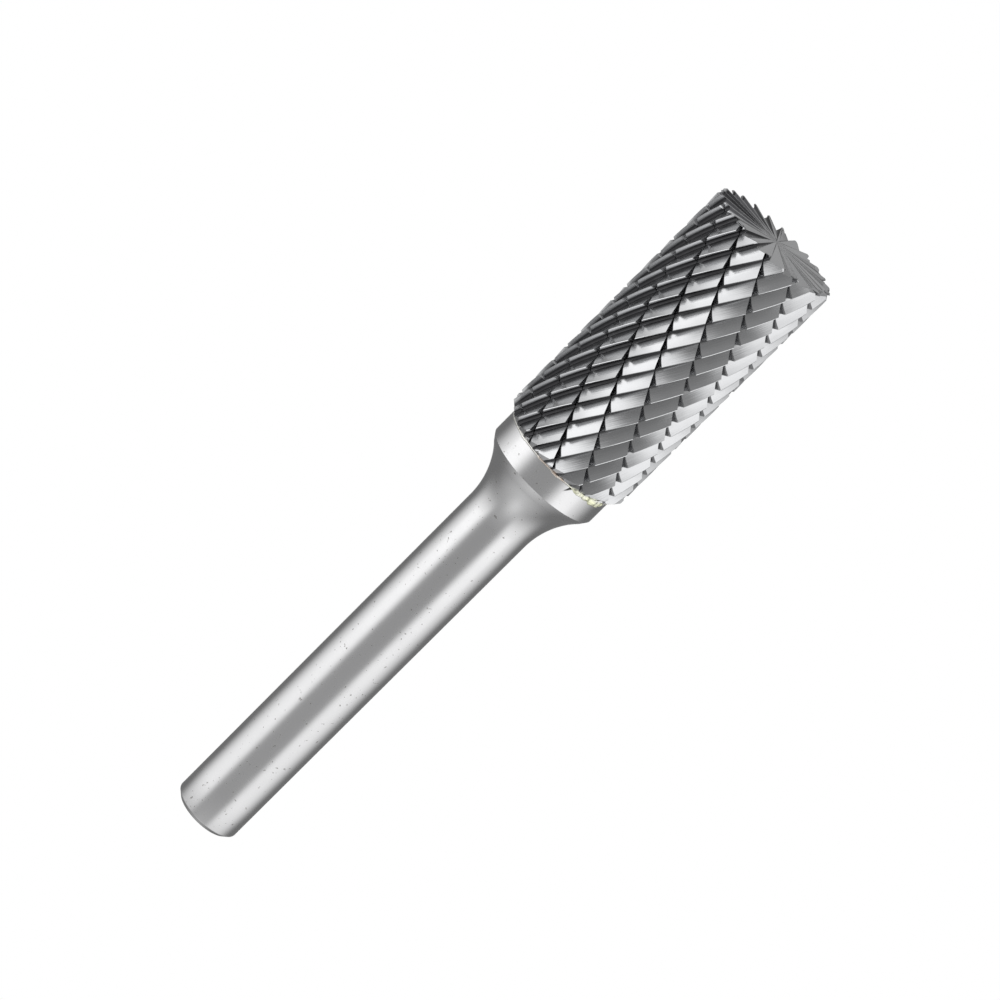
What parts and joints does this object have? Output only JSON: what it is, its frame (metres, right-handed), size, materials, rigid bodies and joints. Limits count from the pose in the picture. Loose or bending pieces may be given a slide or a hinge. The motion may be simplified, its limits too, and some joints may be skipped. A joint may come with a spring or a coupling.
{
  "type": "carbide burr",
  "caption": "Cylindrical carbide rotary burr with crossed helical teeth and an end cut, brazed to a stepped steel shank for a collet.",
  "frame": {"origin": "centre of the end cut, on the plane its teeth stand on", "axes": "+Z along the tool's axis from the end cut towards the shank's free end; the burr stands on its end cut"},
  "size_m": [0.0124, 0.0124, 0.0706],
  "materials": {
    "carbide": "ground, satin",
    "braze": "dull, uneven bead",
    "shank_steel": "ground, satin"
  },
  "bodies": {
    "root": {"carbide_head": "carbide", "braze_seam": "braze", "steel_shank": "shank_steel"}
  },
  "joints": []
}
